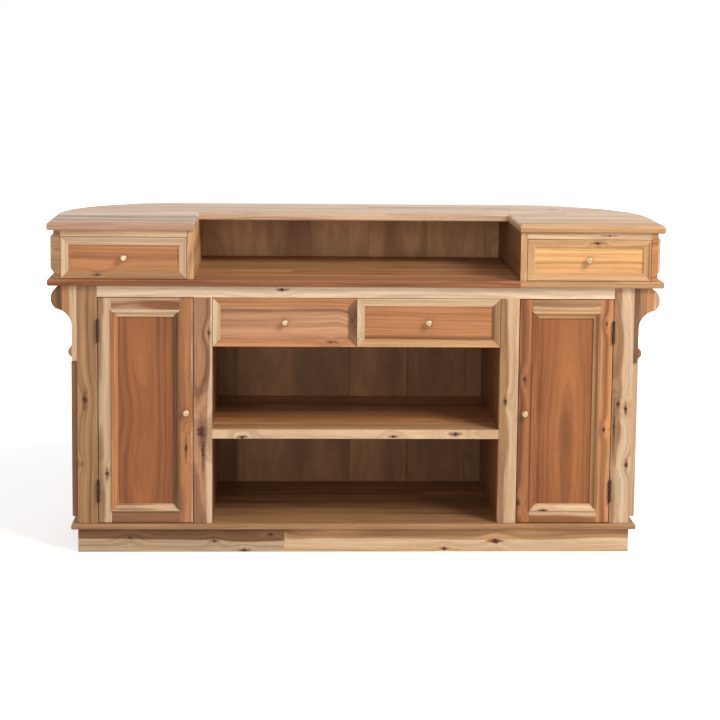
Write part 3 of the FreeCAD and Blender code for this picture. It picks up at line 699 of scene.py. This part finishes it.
# Boards that are solids of their own, and seams where the photo has them
staves_per_corner = 6
back_board_count = 6
notch_pitch = 0.2082
notch_seam = 0.0628
notch_back = 0.3                       # Y of the lining
plinth_seam = -0.232
worktop_seam = 0.53
corbel_start = 0.9015                  # X of a side corbel's first layer
rear_corbel_start = 0.27               # Y of a rear corbel's first layer

woods = {}


def dress(layout, *names, coat=usual_coat):
    """Give nodes one wood between them."""
    material = wood_material(names[0] + "_wood", layout, coat)
    for name in names:
        woods[name] = material


def face_knots(*spots):
    """Knots on the front plane: X, Z and the half-sizes along X and Z."""
    return [(x, face_y, z, reach_x, reach_z) for x, z, reach_x, reach_z in spots]


def dress_tops():
    """Slab, worktop, base board and shelves: boards from side to side."""
    # The slab's pale tints, its pink first board with them, are partly the wood's own colour and partly a
    # painted sheen: lighter than the wood, for the reflection on its glossy top
    dress(row("XYZ", slab_plank, start=slab_front, depth=slab_high.z, seed=11.0, tints=pale_tints_with_painted_sheen,
              sapwood=0.7, length=1.4,
              first=(board(2.2, pink, across=0.3), board(2.8, golden, across=0.3))),
          "top_slab", coat=slab_coat)
    dress(row("XYZ", worktop_plank, start=slab_front, depth=worktop_high.z, seed=31.0, tints=mixed_tints,
              sapwood=0.1, length=1.6,
              first=(board(1.4, russet), board(1.9, golden)), seam=worktop_seam),
          "worktop")
    dress(row("XYZ", base_plank, start=slab_front, depth=0.1, seed=47.0, tints=base_tints,
              sapwood=0.0, length=1.3,
              first=(board(4.4, tan), board(4.9, tan))),
          "base_board")
    shelf_front = board(1.1, golden, heart=0.09, across=face_y + 0.104, depth=0.395)
    dress(row("XYZ", shelf_plank, start=face_y, depth=shelf_high.z, seed=58.0, tints=mixed_tints,
              sapwood=0.2, first=(shelf_front, shelf_front),
              knots=face_knots((-0.372, 0.386, 0.006, 0.004), (0.123, 0.388, 0.005, 0.003),
                               (0.327, 0.396, 0.006, 0.005))),
          "centre_shelf")
    dress(row("XYZ", shelf_plank, start=face_y, depth=0.47, seed=66.0, tints=mixed_tints),
          "cupboard_shelves")


def dress_walls():
    """Walls and linings of upright boards."""
    back_pitch = corner_x * 2.0 / back_board_count
    dress(row("ZXY", back_pitch, start=-0.5 * back_board_count * back_pitch,
              depth=back_low.y - flat_sawn, seed=71.0, tints=dull_tints, sapwood=0.0),
          "back_boards")
    dress(row("ZXY", notch_pitch, start=notch_seam - 5 * notch_pitch,
              depth=notch_back - flat_sawn, seed=83.0, tints=light_tints, sapwood=0.0),
          "notch_boards")
    # The dividers' dark tints are painted shade: darker than their wood, for the shade inside the open bay
    # that they flank
    dress(row("ZYX", side_plank, start=face_y, depth=0.5, seed=90.0, tints=dark_tints, sapwood=0.0),
          "divider_left", "divider_right")
    dress(row("ZYX", side_plank, start=face_y, depth=0.9, seed=99.0, tints=mixed_tints), "side_walls")


def dress_blocks():
    """Side boards of the upper blocks, with the grain from front to back."""
    dress(front_end("Y", board(93.0, honey, depth=flat_sawn), board(92.1, honey, depth=flat_sawn)),
          "block_inner_side_left")
    # The right block's inner side in dark umber is painted shade of the side that faces away from the key
    # lamp; its front end keeps a honey tone
    dress(front_end("Y", board(94.8, honey, depth=flat_sawn), board(94.2, dark_umber, across=quarter_sawn)),
          "block_inner_side_right")
    dress(one_board("Y", board(96.3, tan, across=quarter_sawn)), "block_outer_side_left")
    dress(one_board("Y", board(97.8, orange, across=quarter_sawn)), "block_outer_side_right")


def dress_back():
    """What goes round the curved back, and the upper back wall. The photo hardly shows them."""
    stave = (stave_high.x - corner_x) * math.radians(90.0) / staves_per_corner
    dress(round_the_back(stave, seed=101.0, tints=mixed_tints), "corner_staves", "upper_corner_staves")
    dress(round_the_back(field_plank, seed=111.0, tints=calm_tints, sapwood=0.3), "wall_fields")
    dress(round_the_back(frieze_length, seed=121.0, tints=mixed_tints, level=True),
          "frieze_fields", "plinth_skirt")
    dress(row("XZY", upper_back_plank, start=worktop_high.z, depth=0.33, seed=131.0, tints=mixed_tints,
              length=0.9), "upper_back_wall")


def dress_small_parts():
    """Corbels of thin layers, pilasters, and the parts inside, each cut from one board."""
    dress(row("ZXY", corbel_layer, start=corbel_start, depth=face_y, seed=141.0, tints=corbel_tints),
          "side_corbels", "corbel_noses")
    dress(row("ZYX", corbel_layer, start=rear_corbel_start, depth=0.5, seed=151.0, tints=mixed_tints),
          "rear_corbels")
    dress(row("ZXY", wide_plank, start=0.0, depth=face_y, seed=161.0, tints=dark_tints), "pilasters")
    dress(row("YXZ", wide_plank, start=0.0, depth=0.0, seed=171.0, tints=mixed_tints), "plinth_bearers",
          "shelf_cleats", "lower_runners", "upper_runners", "door_stops", "drawer_partition")


def dress_face():
    """Posts, rails and plinth of the front plane."""
    dress(left_and_right("Z", board(3.1, tan), two_tone(4.4, tan, 0.846, 0.020),
                         face_knots((-0.883, 0.508, 0.007, 0.011), (-0.893, 0.295, 0.003, 0.004),
                                    (0.862, 0.498, 0.004, 0.006), (0.888, 0.482, 0.004, 0.007),
                                    (0.895, 0.294, 0.004, 0.006), (0.850, 0.420, 0.004, 0.03))),
          "outer_stiles")
    dress(left_and_right("Z", two_tone(5.7, cinnamon, -0.512, 0.030), two_tone(6.3, tan, 0.474, 0.026),
                         face_knots((-0.480, 0.731, 0.004, 0.006), (-0.506, 0.400, 0.010, 0.016),
                                    (-0.500, 0.345, 0.004, 0.03), (0.490, 0.506, 0.004, 0.006))),
          "inner_stiles")
    dress(one_board("X", two_tone(7.2, cream, rail_low.z - 0.01, 0.016),
                    face_knots((-0.242, 0.872, 0.006, 0.004))), "front_rail")
    dress(left_and_right("X", two_tone(8.8, dark_umber, plinth_high.z, 0.040),
                         two_tone(8.1, golden, plinth_high.z, 0.036),
                         face_knots((-0.739, 0.049, 0.007, 0.005), (-0.463, 0.037, 0.005, 0.004),
                                    (-0.278, 0.060, 0.007, 0.005), (-0.364, 0.006, 0.006, 0.004),
                                    (0.465, 0.036, 0.008, 0.005), (0.297, 0.010, 0.005, 0.004)),
                         plinth_seam), "plinth_front")
    dress(left_and_right("X", board(9.4, golden, all_sap), board(9.9, golden, all_sap),
                         face_knots((0.818, 1.056, 0.008, 0.003))), "block_rails")


def dress_doors():
    """Panels, frames and mouldings. Rails are bottom and top, stiles left and right."""
    left_low, left_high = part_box("door_frame_left")
    right_low, right_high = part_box("door_frame_right")
    dress(one_board("Z", board(12.3, panel_brown, across=-0.70, depth=face_y - 0.06)), "door_panel_left")
    dress(one_board("Z", board(13.1, panel_brown, across=0.69, depth=face_y - 0.05)), "door_panel_right")
    dress(ring("door_frame_left", frame_width,
               rails=(board(14.2, umber), two_tone(14.9, russet, left_high.z - 0.024, 0.014)),
               stiles=(two_tone(15.3, tan, left_low.x, 0.019), two_tone(15.8, orange, -0.568, 0.024)),
               mitred=False,
               knots=face_knots((-0.812, 0.264, 0.005, 0.007), (-0.555, 0.350, 0.004, 0.013))),
          "door_frame_left")
    dress(ring("door_frame_right", frame_width,
               rails=(two_tone(16.2, russet, right_low.z, 0.022), two_tone(16.6, tan, right_high.z, 0.02)),
               stiles=(board(17.1, russet), board(17.7, orange)),
               mitred=False,
               knots=face_knots((0.552, 0.579, 0.005, 0.007), (0.537, 0.164, 0.005, 0.008),
                                (0.817, 0.412, 0.004, 0.005), (0.818, 0.764, 0.003, 0.005))),
          "door_frame_right")
    dress(ring("door_moulding_left", moulding_width,
               rails=(two_tone(22.1, tan, left_low.z + 0.066, 0.008), board(22.6, golden, all_sap)),
               # The right stile in umber is painted shade of the moulding's side that faces away from the key
               # lamp
               stiles=(board(23.1, orange), board(23.8, umber))),
          "door_moulding_left")
    dress(ring("door_moulding_right", moulding_width,
               rails=(board(24.1, golden, all_sap), board(24.6, golden)),
               stiles=(board(25.1, russet), board(25.8, tan)),
               knots=face_knots((0.621, 0.141, 0.006, 0.004))),
          "door_moulding_right")


def dress_drawers():
    """Fronts, each a centre board in a border of rails and stiles, and boxes."""
    fronts = {
        "upper_left": ((board(32.1, tan), board(32.6, tan, all_sap)),
                       (board(33.1, golden, all_sap), board(33.6, golden, all_sap)),
                       board(34.1, orange)),
        "upper_right": ((board(35.1, honey), two_tone(35.6, honey, 1.034, 0.006)),
                        (board(36.1, bright), board(36.6, golden)),
                        board(37.1, amber)),
        "lower_left": ((board(38.1, orange), board(38.6, orange)),
                       (board(39.1, golden, all_sap), board(39.6, umber)),
                       board(40.3, peach)),
        "lower_right": ((board(41.1, golden), board(41.6, golden, all_sap)),
                        (board(42.1, golden, all_sap), board(42.6, tan)),
                        board(43.2, orange)),
    }
    spots = face_knots((-0.840, 0.920, 0.006, 0.004), (0.781, 1.031, 0.006, 0.003),
                       (-0.015, 0.773, 0.005, 0.008), (-0.083, 0.700, 0.006, 0.004))
    for place, (rails, stiles, centre) in fronts.items():
        level, side = place.split("_")
        front = level + "_drawer_front_" + side
        dress(ring(front, border_width, rails, stiles, centre=centre, knots=spots), front)
        dress(row("YXZ", drawer_plank, start=0.0, depth=0.0, seed=181.0, tints=dull_tints),
              level + "_drawer_box_" + side)


dress_tops()
dress_walls()
dress_blocks()
dress_back()
dress_small_parts()
dress_face()
dress_doors()
dress_drawers()

# ---------------------------------------------------------------- the frame's own meshes

weld_distance = 0.00001
soft_width = 0.0011                    # what sanding takes off an edge
soft_segments = 2
soft_angle = math.radians(32.0)        # edges sharper than this are softened
knob_width = 0.0016
knob_segments = 4
knob_angle = math.radians(22.0)
flat_angle = math.radians(1.0)


def modify(obj, name, kind, **settings):
    made = obj.modifiers.new(name, kind)
    for setting, value in settings.items():
        setattr(made, setting, value)


def bevel(obj, name, width, segments, angle):
    """Bevel the edges sharper than an angle, and shade the bevels into the faces."""
    modify(obj, name, "BEVEL", width=width, segments=segments, limit_method="ANGLE",
           angle_limit=angle, use_clamp_overlap=True)
    modify(obj, "normals", "WEIGHTED_NORMAL", keep_sharp=True)


def soften(obj):
    """Break the sharp edges slightly, as sanding does."""
    modify(obj, "weld", "WELD", merge_threshold=weld_distance)
    bevel(obj, "soft_edges", soft_width, soft_segments, soft_angle)


def round_off(obj):
    """Turn a knob's straight steps into a rounded profile."""
    modify(obj, "weld", "WELD", merge_threshold=weld_distance)
    modify(obj, "flat_faces", "DECIMATE", decimate_type="DISSOLVE", angle_limit=flat_angle)
    bevel(obj, "rounding", knob_width, knob_segments, knob_angle)


for name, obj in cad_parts.items():
    obj.data.materials.clear()
    if "knob" in name:
        obj.data.materials.append(brass)
        round_off(obj)
    elif "hinge" in name:
        obj.data.materials.append(iron)
    else:
        obj.data.materials.append(woods[name])
        soften(obj)

# ---------------------------------------------------------------- hinge screws

screw_radius = 0.0027
screw_slot = 0.0004                    # half-width of the slot
screw_rise = 0.0003                    # how far a head stands proud of its leaf
screw_floor = 0.00008                  # bottom of the slot
screw_spread = 0.025                   # outer screws, from the middle of a leaf
screw_setback = 0.0105                 # from the front of the leaf
leaf_width = 0.0175                    # front to back
hinge_height = 0.072
half_gap = 0.00125                     # from the hinge's axis to the face of a leaf
circle_steps = 20                      # sides of a head's outline

# Slots stand at any angle: the first one's, the next screw's and that of a hinge further up
first_turn, next_turn, upward_turn = 0.7, 2.1, 5.0


def prism(verts, faces, outline, height, place, side):
    """Prism over an outline (u, v) on a leaf's face that looks to one side."""
    first = len(verts)
    count = len(outline)
    for level in (0.0, height):
        verts += [(place.x + side * level, place.y + u, place.z + v) for u, v in outline]
    faces.append([first + i for i in range(count)])
    faces.append([first + count + i for i in range(count)])
    for i in range(count):
        j = (i + 1) % count
        faces.append([first + i, first + j, first + count + j, first + count + i])


def screw_head(verts, faces, place, side, turn):
    """Slotted head: a thin disc with a half-moon on each side of the slot."""
    def spun(u, v):
        return u * math.cos(turn) - v * math.sin(turn), u * math.sin(turn) + v * math.cos(turn)

    def arc(start, end, steps):
        angles = [start + (end - start) * i / steps for i in range(steps + 1)]
        return [(screw_radius * math.cos(a), screw_radius * math.sin(a)) for a in angles]

    disc = arc(0.0, 2.0 * math.pi, circle_steps)[:-1]
    prism(verts, faces, [spun(u, v) for u, v in disc], screw_floor, place, side)
    lean = math.asin(screw_slot / screw_radius)
    moon = arc(lean, math.pi - lean, circle_steps // 2)
    for flip in (1.0, -1.0):
        prism(verts, faces, [spun(u, flip * v) for u, v in moon], screw_rise, place, side)


def leaf_screws(name, node, body, leaves):
    """Three screws in each of a node's leaves. A leaf is its face's X and the side it looks to."""
    low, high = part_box(node)
    front = high.y - leaf_width
    verts, faces = [], []
    for x, side in leaves:
        for middle in (low.z + hinge_height / 2.0, high.z - hinge_height / 2.0):
            for i in (-1, 0, 1):
                place = Vector((x, front + screw_setback, middle + i * screw_spread))
                screw_head(verts, faces, place, side, first_turn + next_turn * i + upward_turn * middle)
    mesh = bpy.data.meshes.new(name)
    mesh.from_pydata(verts, [], faces)
    repair = bmesh.new()
    repair.from_mesh(mesh)
    bmesh.ops.recalc_face_normals(repair, faces=repair.faces)
    repair.to_mesh(mesh)
    repair.free()
    mesh.materials.append(screw_iron)
    obj = bpy.data.objects.new(name, mesh)
    scene.collection.objects.link(obj)
    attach(obj, body)


post_leaves = []
for name, side in (("right", 1.0), ("left", -1.0)):
    door_low, door_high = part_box("door_hinge_leaves_" + name)
    axis_x = (door_low.x + door_high.x) / 2.0
    leaf_screws("door_leaf_screws_" + name, "door_hinge_leaves_" + name, "door_" + name,
                [(axis_x - side * half_gap, side)])
    post_leaves.insert(0, (axis_x + side * half_gap, -side))
leaf_screws("post_leaf_screws", "hinge_post_leaves", "cabinet", post_leaves)

# ---------------------------------------------------------------- studio

sky_light = 0.48
floor_half = 12.0
floor_grey = 236
floor_lift = 0.56                      # light of the floor's own near the unit, where the shadow falls
floor_fade = (1.4, 4.5)                # distance over which it turns as white as the background


def white_world():
    """Soft light from all round. The background is white for the camera and in reflections."""
    world = bpy.data.worlds.new("studio")
    world.use_nodes = True
    g = Graph(world.node_tree)
    sky = world.node_tree.nodes["Background"]
    rays = g.node("ShaderNodeLightPath").outputs
    seen = g.math("MAXIMUM", rays["Is Camera Ray"], rays["Is Glossy Ray"])
    seen = g.math("MAXIMUM", seen, rays["Is Transmission Ray"])
    g.plug(sky.inputs["Color"], (1.0, 1.0, 1.0, 1.0))
    g.plug(sky.inputs["Strength"], g.blend(seen, sky_light, 1.0))
    scene.world = world


def white_floor():
    """Pale floor that keeps the object's shadow and otherwise runs into the background."""
    mesh = bpy.data.meshes.new("floor")
    corners = [(-floor_half, -floor_half, 0.0), (floor_half, -floor_half, 0.0),
               (floor_half, floor_half, 0.0), (-floor_half, floor_half, 0.0)]
    mesh.from_pydata(corners, [], [(0, 1, 2, 3)])
    floor = bpy.data.objects.new("floor", mesh)
    scene.collection.objects.link(floor)
    material, g, shader = new_material("floor_white")
    shader.inputs["Base Color"].default_value = srgb(floor_grey, floor_grey, floor_grey)
    shader.inputs["Roughness"].default_value = 0.9
    shader.inputs["Specular IOR Level"].default_value = 0.0
    shader.inputs["Emission Color"].default_value = (1.0, 1.0, 1.0, 1.0)
    seen = g.node("ShaderNodeLightPath").outputs["Is Camera Ray"]
    reach = g.vector("LENGTH", g.place())
    g.plug(shader.inputs["Emission Strength"], g.mul(seen, g.step(reach, *floor_fade, floor_lift, 1.0)))
    mesh.materials.append(material)


def soft_box(name, turn, height, distance, size, power):
    """Square lamp that looks at the middle of the unit. Turn and height are in degrees."""
    turn, height = math.radians(turn), math.radians(height)
    lamp = bpy.data.lights.new(name, "AREA")
    lamp.energy = power
    lamp.size = size
    obj = bpy.data.objects.new(name, lamp)
    target = Vector((0.0, 0.0, middle_z))
    direction = Vector((math.sin(turn) * math.cos(height), -math.cos(turn) * math.cos(height),
                        math.sin(height)))
    obj.location = target + direction * distance
    obj.rotation_euler = direction.to_track_quat("Z", "Y").to_euler()
    scene.collection.objects.link(obj)


white_world()
white_floor()
soft_box("key", turn=44.0, height=38.0, distance=6.5, size=2.1, power=278.0)
soft_box("fill", turn=-12.0, height=12.0, distance=6.0, size=2.6, power=40.0)

# ---------------------------------------------------------------- camera

# Fitted to the photo. The camera looks down a little, in place of a larger shift
camera_place = (-0.2297, -6.2598, 1.7030)
camera_pitch = math.radians(6.78)
camera_yaw = math.radians(-2.29)
camera_roll = math.radians(0.587)
sensor_width = 36.0                    # in mm, as is the focal length
focal_length = 92.26
lens_shift = -0.15

lens = bpy.data.cameras.new("camera")
lens.sensor_width = sensor_width
lens.lens = focal_length
lens.shift_y = lens_shift
camera = bpy.data.objects.new("camera", lens)
aim = Euler((math.pi / 2.0 - camera_pitch, 0.0, camera_yaw)).to_matrix()
camera.matrix_world = Matrix.Translation(camera_place) @ (aim @ Matrix.Rotation(camera_roll, 3, "Z")).to_4x4()
scene.collection.objects.link(camera)
scene.camera = camera

scene.view_settings.view_transform = "Standard"
